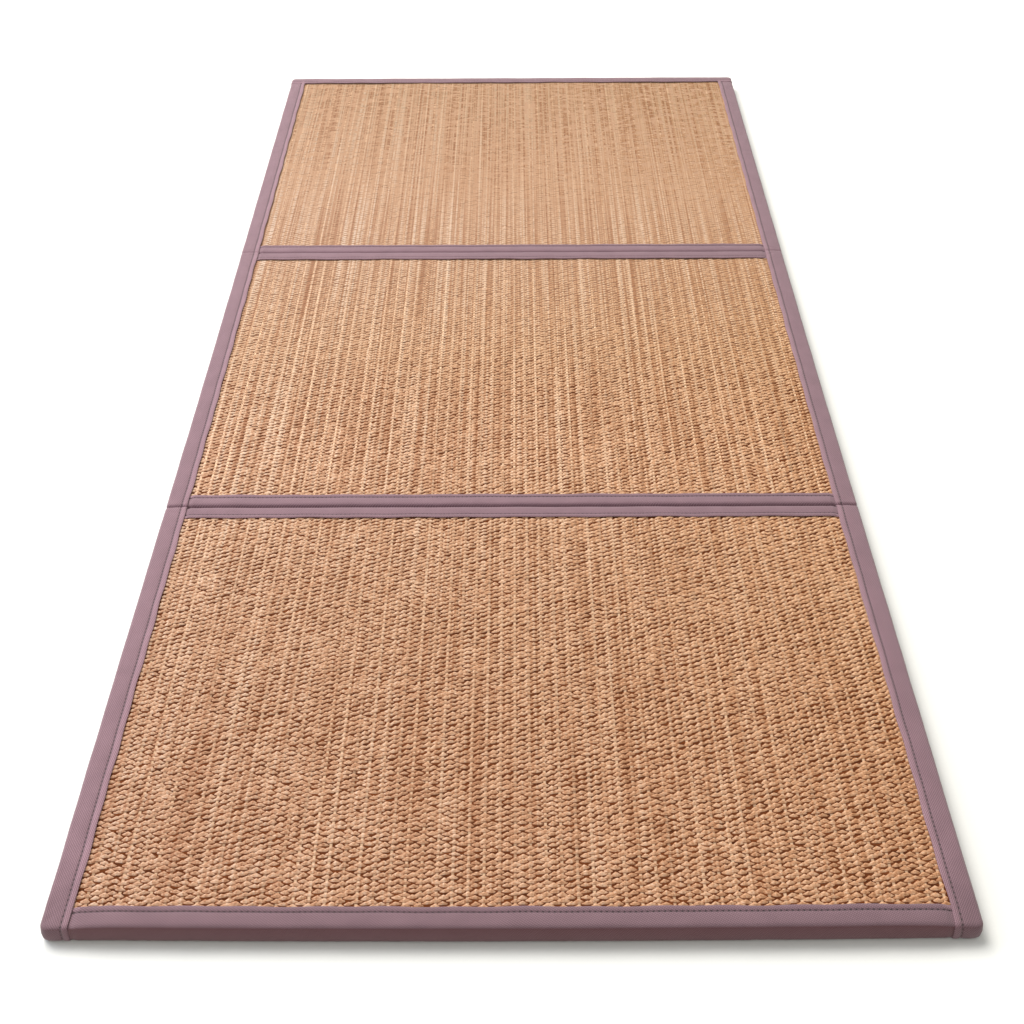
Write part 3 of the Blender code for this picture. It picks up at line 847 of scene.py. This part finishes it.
def sewingThread():  # spun polyester thread: smooth twist, a little darker than the tape
    material, add, shader = newMaterial("mauve sewing thread")
    twist = add("ShaderNodeTexWave", {
        "Vector": add("ShaderNodeTexCoord").outputs["Object"], "Scale": 420.0, "Distortion": 1.0},
        bands_direction="DIAGONAL").outputs["Fac"]   # 1.5 mm from turn to turn, coarser than real
    colour = add("ShaderNodeValToRGB", (twist,), stops=((0.0, "#6a4f58"), (1.0, "#8d6f78")))
    ribs = add("ShaderNodeBump", {"Height": twist, "Strength": 0.3, "Distance": 0.0002})
    setInputs(shader, {"Base Color": colour, "Normal": ribs, "Roughness": 0.55})
    return material


def lipLines(hem):  # mesh lines from a lip over its hem and seam
    return [0.0, 0.0004, 0.0012, 0.0022, hem / 2] + [
        hem + step for step in (-0.0012, -0.0005, 0.0, 0.0005, 0.0012, 0.0034, 0.0068, 0.0100)]


def edgeSteps():  # lines in from an outer edge, for the rim and the round corner
    return arcSteps(mat["rimRadius"], 3) + arcSteps(mat["cornerRadius"], 4)[:2] + [0.0]


def alongLines(start, end, fineSpots, fixed):
    fixed = set(fixed) | {start, end}
    for spot in fineSpots:
        fine = evenLines(spot - tape["fineRun"], spot + tape["fineRun"], tape["fineStep"])
        fixed |= {line for line in fine
                  if start < line < end and all(abs(line - other) > tape["fineNearest"] for other in fixed)}
    fixed = {line for line in fixed if start <= line <= end}
    return mergeLines(evenLines(start, end, tape["step"]), fixed, tape["nearest"])


def pointNormals(points, quads):
    corners = points[np.array(quads)]
    across = np.cross(corners[:, 2] - corners[:, 0], corners[:, 3] - corners[:, 1])
    normals = np.zeros_like(points)
    for i in range(4):
        np.add.at(normals, np.array(quads)[:, i], across)
    return normals / np.maximum(np.linalg.norm(normals, axis=1, keepdims=True), 1e-12)


def unroll(points, sides, run):  # distance from the lip round to the other lip, and along the tape
    x, y, z = points.T
    away, along = (np.abs(x) - sideLip, y) if run == 1 else (pastEndLip(y), x)
    reach = mat["sideReach"] if run == 1 else np.where(y < 0, mat["nearReach"], mat["farReach"])
    outer = {"left", "right"} if run == 1 else {"near", "far"}
    onOuter = np.array([side in outer for side in sides])
    onUnder = np.array([side == "under" for side in sides])
    onEnd = np.array([side not in outer and side not in ("under", "top") for side in sides])
    across = np.where(onOuter, reach + thickness - z, away)
    across = np.where(onUnder, 2 * reach + thickness - away, across)
    return across, along + np.where(onEnd, np.sign(along) * (thickness - z), 0.0)


def creasesAt(x, y):
    height = 0.0
    for spotX, spotY, turn, halfLength, halfSpread, rise in creases:
        angle = math.radians(turn)
        along = (x - spotX) * math.cos(angle) + (y - spotY) * math.sin(angle)
        aside = (y - spotY) * math.cos(angle) - (x - spotX) * math.sin(angle)
        height = height + rise * bump(aside, halfSpread) * bump(along, halfLength)
    return height


def reliefAt(across, along, fromLip, hem, seed):  # height of the tape above its plain shape
    bead = tape["hemRise"] * bump(fromLip - hem / 2, hem / 2.4)
    seam = -tape["seamDepth"] * bump(fromLip - hem, tape["seamSpread"])
    rises = smoothStep((fromLip - hem - tape["seamSpread"]) / tape["paddingFrom"])
    swell = rises * (1 - smoothStep((fromLip - tape["paddingEnd"][0]) / tape["paddingEnd"][1]))
    lip = -tape["lipDrop"] * (1 - smoothStep(fromLip / tape["lipRound"]))
    turn, otherTurn, aside = tape["slowTurns"]
    slow = np.sin(along * turn + seed) * np.sin(along * otherTurn + across * aside + 2 * seed)
    turn, aside, otherTurn, otherAside = tape["quickTurns"]
    quick = np.sin(along * turn + across * aside + seed)
    quick = quick * np.sin(along * otherTurn - across * otherAside + 3 * seed)
    uneven = tape["unevenness"] * (slow + 0.6 * quick)
    return bead + seam + tape["padding"] * swell * (1 + 0.5 * slow) + lip + uneven


def swellOut(points):
    x, y, z = points.T
    atEdge = np.where(z < thickness / 2, mat["swellAtFloor"], mat["swellAtTop"])
    belly = 1 - (1 - atEdge) * (2 * z / thickness - 1) ** 2
    bySide = mat["swell"] * belly * smoothStep((np.abs(x) - sideLip) / mat["sideReach"])
    endSwell = np.where(y < 0, mat["nearSwell"], mat["swell"])
    byEnd = endSwell * belly * smoothStep(pastEndLip(y) / mat["nearReach"])
    return np.stack([x + np.sign(x) * bySide, y + np.sign(y) * byEnd, z], 1)


def onMat(points):
    radius = mat["cornerRadius"]
    return roundOff(points, 0.0, mat["rimRadius"], (frontY, radius), (backY, radius))


def buildStitchTree():
    tree, add, given = newTree("stitch rows", {
        "points": "Geometry", "threadLength": "Float", "threadRadius": "Float", "finish": "Material"})
    half = add("ShaderNodeMath", (given["threadLength"], 0.5), operation="MULTIPLY")
    size = add("ShaderNodeCombineXYZ", (given["threadRadius"], given["threadRadius"], half))
    onward, outward = [add("GeometryNodeInputNamedAttribute", {"Name": key}, data_type="FLOAT_VECTOR")
                       for key in ("onward", "outward")]
    turned = add("FunctionNodeAlignRotationToVector", {"Vector": onward}, axis="Z")
    turned = add("FunctionNodeAlignRotationToVector", {
        "Rotation": turned, "Vector": outward}, axis="X", pivot_axis="Z")
    shape = add("GeometryNodeMeshUVSphere", {"Segments": 6, "Rings": 4, "Radius": 1.0})
    shape = add("GeometryNodeSetShadeSmooth", {"Geometry": shape, "Shade Smooth": True})
    layCopies(add, given["points"], shape, turned, size, given["finish"])
    return tree


def readOff(values, along, where):
    return np.stack([np.interp(where, along, column) for column in values.T], 1)


def makeStitches(name, parent, rows, reach):  # a thread from hole to hole, sunk in the seam
    spots, onward, outward = [], [], []
    for along, places, normals in rows:
        order = np.argsort(along)
        along, places, normals = along[order], places[order], normals[order]
        count = int((along[-1] - along[0]) / tape["stitchPitch"])
        centres = tape["stitchPitch"] * (np.ceil(along[0] / tape["stitchPitch"]) + np.arange(count))
        centres = centres[np.abs(centres) < reach]
        normal = readOff(normals, along, centres)
        spot = readOff(places, along, centres) + normal * tape["threadRise"]
        # at a lower bend a stitch would stand in the floor
        clear = (spot[:, 2] > tape["stitchLength"] / 2) | (normal[:, 2] < tape["underFrom"])
        spot[:, 2] = np.maximum(spot[:, 2], tape["threadRadius"])
        ahead = readOff(places, along, centres + 0.001) - readOff(places, along, centres - 0.001)
        spots.append(spot[clear])
        onward.append(ahead[clear])
        outward.append(normal[clear])
    mesh = bpy.data.meshes.new(name)
    mesh.from_pydata(np.concatenate(spots).tolist(), [], [])
    storeValues(mesh, "onward", "FLOAT_VECTOR", np.concatenate(onward))
    storeValues(mesh, "outward", "FLOAT_VECTOR", np.concatenate(outward))
    mesh = runTree(name, stitchTree, {
        "threadLength": tape["stitchLength"], "threadRadius": tape["threadRadius"], "finish": thread}, mesh)
    item = newObject(name, mesh, parent)
    return item


def makeTape(name, node, grid, press, run, seed, flat, foldY=None):
    points, quads, sides = grid
    hem = tape["sideHem"] if run == 1 else tape["hem"]
    corners = np.array(quads).ravel()
    if foldY is None:
        cornerAcross, cornerAlong = unroll(points[corners], np.repeat(sides, 4), run)
        first = np.unique(corners, return_index=True)[1]
        across, along = cornerAcross[first], cornerAlong[first]
        whole = flat[0]
        cornerFromLip = np.minimum(cornerAcross, whole - cornerAcross)
    else:
        across, along = pastFoldLip(points[:, 1], foldY), points[:, 0]
        cornerAcross, cornerAlong = points[corners, 1] - foldY, points[corners, 0]
        cornerFromLip = across[corners]
        whole = 2 * mat["foldReach"]
    fromLip = np.minimum(across, whole - across)
    under = across > whole / 2 if foldY is None else np.zeros(len(points), bool)

    turn, slowTurn = tape["lipTurns"]
    wave = tape["lipWave"] * (np.sin(along * turn + seed) + 0.7 * np.sin(along * slowTurn + 2.3 * seed))
    if run == 1:
        fromPinch = along - frontY - tape["pinchAt"]
        wave = wave - tape["cornerPinch"] * bump(np.minimum(fromPinch, 0.0), tape["pinchRuns"][0]) * bump(
            np.maximum(fromPinch, 0.0), tape["pinchRuns"][1])
    wave = wave * np.exp(-fromLip / tape["lipWaveRun"])
    shifted = points.copy()
    away = 0 if run == 1 else 1
    inward = -np.sign(points[:, away]) if foldY is None else np.sign(points[:, 1] - foldY)
    shifted[:, away] += inward * wave * np.where(under, 0.0, 1.0)
    shaped = swellOut(press(shifted))
    normals = pointNormals(shaped, quads)
    onTop = normals[:, 2] > tape["topFrom"]
    height = reliefAt(across, along, fromLip, hem, seed)
    height = np.where(under, np.minimum(height, 0.0), height)
    height = height + np.where(onTop, creasesAt(points[:, 0], points[:, 1]), 0.0)
    shaped = shaped + normals * height[:, None]
    if run == 1:
        rise = (covered(pastFoldLip(points[:, 1], nearFoldY)) + covered(pastFoldLip(points[:, 1], farFoldY))
                + covered(nearLip - points[:, 1]))
        overEnds = smoothStep((halfWidth - mat["tuckedEnd"] - np.abs(points[:, 0])) / tape["crossingRun"] + 1)
        shaped[:, 2] += tape["crossingRise"] * rise * overEnds * onTop
    shaped = settle(shaped)
    shaped[:, 2] = np.maximum(shaped[:, 2], 0.0)

    item = pieceFromPoints(name, shaped, quads, [twill])
    for layerName, first in (("cloth", cornerAcross), ("seam", cornerFromLip - hem)):
        uv = item.data.uv_layers.new(name=layerName)
        uv.data.foreach_set("uv", np.stack([first, cornerAlong], 1).astype(np.float32).ravel())
    storeValues(item.data, "level", "FLOAT", points[:, 2])   # height up the edge before it is rounded
    edgeShading = tapeLook["sideShadeShare"] if run == 1 else 1.0
    storeValues(item.data, "edgeShading", "FLOAT", np.full(len(points), edgeShading))
    wall = item.modifiers.new("cloth thickness", "SOLIDIFY")
    wall.thickness = mat["tapeThickness"]
    wall.offset = -1.0
    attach(item, "root")
    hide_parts(node)

    rows = [np.abs(across - hem) < 1e-5, np.abs(whole - across - hem) < 1e-5]
    if foldY is not None:
        rows = [rows[0] & (points[:, 1] > foldY), rows[0] & (points[:, 1] < foldY)]
    normals = pointNormals(shaped, quads)
    reach = sideLip if run == 0 and name != "tape_back" else math.inf   # the side tapes hide the rest
    rows = [(along[row], shaped[row], normals[row]) for row in rows]
    stitches = makeStitches(name.replace("tape", "stitches"), item, rows, reach)


def makeSideTape(name, node, hand):
    end = backY - mat["tuckedEnd"]
    edge = edgeSteps()
    xs = {hand * (sideLip + step) for step in lipLines(tape["sideHem"])}
    xs |= {hand * (halfWidth - step) for step in edge}
    grooves = [foldY + share * mat["grooveHalf"] for foldY, _ in folds for share in grooveShares]
    ys = alongLines(frontY, end, (frontY + 0.014, nearFoldY, farFoldY, farLip - 0.01),
                    [frontY + step for step in edge] + grooves)
    outer = "left" if hand < 0 else "right"
    grid = shellGrid([sorted(xs), ys, rimHeights()], [outer, "near", "under", "top"])

    def press(points):
        sunk = mat["layer"] * np.where(points[:, 1] > 0, underEndTape(points[:, 1]), 0.0)
        x, y, z = onMat(points).T
        height = 2 * z / thickness - 1
        outward = (np.abs(x) - sideLip) / mat["sideReach"]
        notch = grooveAt(y, share=mat["notchShare"]) * z / thickness
        dip = grooveAt(y, share=mat["sideGrooveShare"]) * np.maximum(height, 0.0)
        return np.stack([x - hand * (tape["drawUnder"] * sunk + notch) * outward, y,
                         z - dip - tape["sinkUnder"] * sunk * height], 1)

    makeTape(name, node, grid, press, 1, 1.7 + hand,
             (2 * mat["sideReach"] + thickness, end - frontY + thickness))


def makeFrontTape():
    side = halfWidth - mat["tuckedEnd"]
    xs = alongLines(-side, side, (-sideLip, sideLip), [])
    ys = sorted({nearLip - step for step in lipLines(tape["hem"])} | {frontY + step for step in edgeSteps()})
    grid = shellGrid([xs, ys, rimHeights()], ["near", "under", "top"])

    def press(points):
        sunk = mat["layer"] * underSideTape(points[:, 0])
        x, y, z = onMat(points).T
        outward = (nearLip - y) / mat["nearReach"]
        height = 2 * z / thickness - 1
        return np.stack([x, y + tape["frontDraw"] * sunk * outward,
                         z - sunk * height * np.where(height > 0, 1.0, tape["frontLift"])], 1)

    makeTape("tape_front", "binding_front", grid, press, 0, 0.4,
             (2 * mat["nearReach"] + thickness, 2 * side))


def makeBackTape():
    edge = edgeSteps()
    xs = alongLines(-halfWidth, halfWidth, (-sideLip, sideLip),
                    [-halfWidth + step for step in edge] + [halfWidth - step for step in edge])
    ys = sorted({farLip + step for step in lipLines(tape["hem"])} | {backY - step for step in edge})
    grid = shellGrid([xs, ys, rimHeights()], ["left", "right", "far", "under", "top"])
    makeTape("tape_back", "binding_back", grid, onMat, 0, 2.9,
             (2 * mat["farReach"] + thickness, 2 * (halfWidth + thickness)))


def makeFoldTape(name, node, foldY, depth, seed):
    side, reach = halfWidth - mat["tuckedEnd"], mat["foldReach"]
    xs = alongLines(-side, side, (-sideLip, sideLip), [])
    grooves = {foldY + share * mat["grooveHalf"] for share in (-1, -0.6, -0.3, -0.1, 0.1, 0.3, 0.6, 1)}
    lips = {foldY + sign * (reach - step) for step in lipLines(tape["hem"]) for sign in (-1, 1)}
    grid = shellGrid([xs, sorted(lips | grooves | {foldY}), [0.0, thickness]], ["top"])

    def press(points):
        x, y, z = points.T
        return np.stack([x, y, z - mat["layer"] * underSideTape(x) - grooveAt(y)], 1)

    dip = 2 * (math.hypot(mat["grooveHalf"], depth) - mat["grooveHalf"])
    makeTape(name, node, grid, press, 0, seed, (2 * reach + dip, 2 * side), foldY)


# Every piece, from the pads up

ground, backing = groundWeave(), backingCloth()
slit, foldRadius = mat["padSlit"] / 2, mat["padFoldRadius"]
outerRadius = mat["cornerRadius"] - mat["layer"]
padEnds = {  # place and corner radius of each pad's near and far end
    "panel_front": ((frontY + mat["layer"], outerRadius), (nearFoldY - slit, foldRadius)),
    "panel_middle": ((nearFoldY + slit, foldRadius), (farFoldY - slit, foldRadius)),
    "panel_back": ((farFoldY + slit, foldRadius), (backY - mat["layer"], outerRadius)),
}
pads = {}
for node, (low, high) in padEnds.items():
    pads[node] = makePad(node.replace("panel", "pad"), node, low, high, [ground, backing])
print("pads made")

rush = driedRush()
strand = makeStrand()
rushTree = buildRushTree()
exposed = {  # where the rush shows
    "panel_front": (nearLip, nearFoldY - mat["foldReach"]),
    "panel_middle": (nearFoldY + mat["foldReach"], farFoldY - mat["foldReach"]),
    "panel_back": (farFoldY + mat["foldReach"], farLip),
}
for node, (low, high) in exposed.items():
    makeFacing(node.replace("panel", "rush"), pads[node], low, high, rushTree, strand, rush)
bpy.data.objects.remove(strand)
print("rush facing made")

twill, thread = twillTape(), sewingThread()
stitchTree = buildStitchTree()
makeSideTape("tape_left", "binding_left", -1)
makeSideTape("tape_right", "binding_right", 1)
makeFrontTape()
makeBackTape()
makeFoldTape("tape_fold_near", "binding_fold_near", nearFoldY, mat["nearFoldDepth"], 4.2)
makeFoldTape("tape_fold_far", "binding_fold_far", farFoldY, mat["farFoldDepth"], 5.6)
print("tapes made")


# Floor, camera and lights

view = {
    "place": (0.0056, -1.7814, 1.1932),
    "down": 39.895,            # degrees below level
    "turn": 0.198,
    "roll": -0.322,
    "lens": 49.57,             # mm
    "sensor": 36.0,
    "nearest": 0.05,
    "floorWidth": 14.0,
    "floorGap": 0.0002,
    "worldColour": (1.0, 0.975, 0.93, 1.0),
    "worldStrength": 0.42,
}

lights = {
    "key": {"place": (-2.7, 3.2, 5.9), "target": (0.0, 0.0, 0.0), "size": 4.8, "power": 694.0,
            "colour": "#fff8f2"},
    "left fill": {"place": (-2.3, -0.2, 1.4), "target": (0.0, 0.0, 0.0), "size": 1.4, "power": 20.0,
                  "colour": "#dfe9ff"},
    "front fill": {"place": (0.0, -3.2, 3.8), "target": (0.0, -0.8, 0.0), "size": 2.5, "power": 20.0,
                   "colour": "#fffaf2"},
}


def backdropPaper():  # matt white paper: nearly flat, with a trace of tooth
    material, add, shader = newMaterial("backdrop paper")
    place = add("ShaderNodeTexCoord").outputs["Object"]
    tooth = add("ShaderNodeTexNoise", {"Vector": place, "Scale": 300.0, "Detail": 3.0})
    colour = add("ShaderNodeMix", {0: tooth, 6: linear("#edf1ef"), 7: linear("#f1f5f3")}, data_type="RGBA")
    setInputs(shader, {"Base Color": colour, "Roughness": 0.9, "Specular IOR Level": 0.2})
    return material


halfFloor = view["floorWidth"] / 2
floorCorners = np.array([(x * halfFloor, y * halfFloor, -view["floorGap"])
                         for x, y in ((-1, -1), (1, -1), (1, 1), (-1, 1))])
pieceFromPoints("floor", floorCorners, [(0, 1, 2, 3)], [backdropPaper()])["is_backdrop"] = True

camera = newObject("camera", bpy.data.cameras.new("camera"))
camera.data.lens = view["lens"]
camera.data.sensor_width = view["sensor"]
camera.data.clip_start = view["nearest"]
turned = (Matrix.Rotation(math.radians(view["turn"]), 3, "Z")
          @ Matrix.Rotation(math.radians(90 - view["down"]), 3, "X")
          @ Matrix.Rotation(math.radians(view["roll"]), 3, "Z"))
camera.matrix_world = Matrix.Translation(view["place"]) @ turned.to_4x4()
bpy.context.scene.camera = camera

for name, light in lights.items():
    lamp = newObject(name, bpy.data.lights.new(name, "AREA"))
    lamp.data.size = light["size"]
    lamp.data.energy = light["power"]
    lamp.data.color = linear(light["colour"])[:3]
    lamp.location = light["place"]
    aim = Vector(light["target"]) - Vector(light["place"])
    lamp.rotation_euler = aim.to_track_quat("-Z", "Y").to_euler()
    lamp.visible_camera = False

world = bpy.data.worlds.new("studio")
world.use_nodes = True
setInputs(world.node_tree.nodes["Background"], {
    "Color": view["worldColour"], "Strength": view["worldStrength"]})
bpy.context.scene.world = world
bpy.context.scene.view_settings.view_transform = "Standard"
print("stage, camera and lights set")

low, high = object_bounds()
{"cad": [list(cadLow), list(cadHigh)], "visual": [list(low), list(high)]}
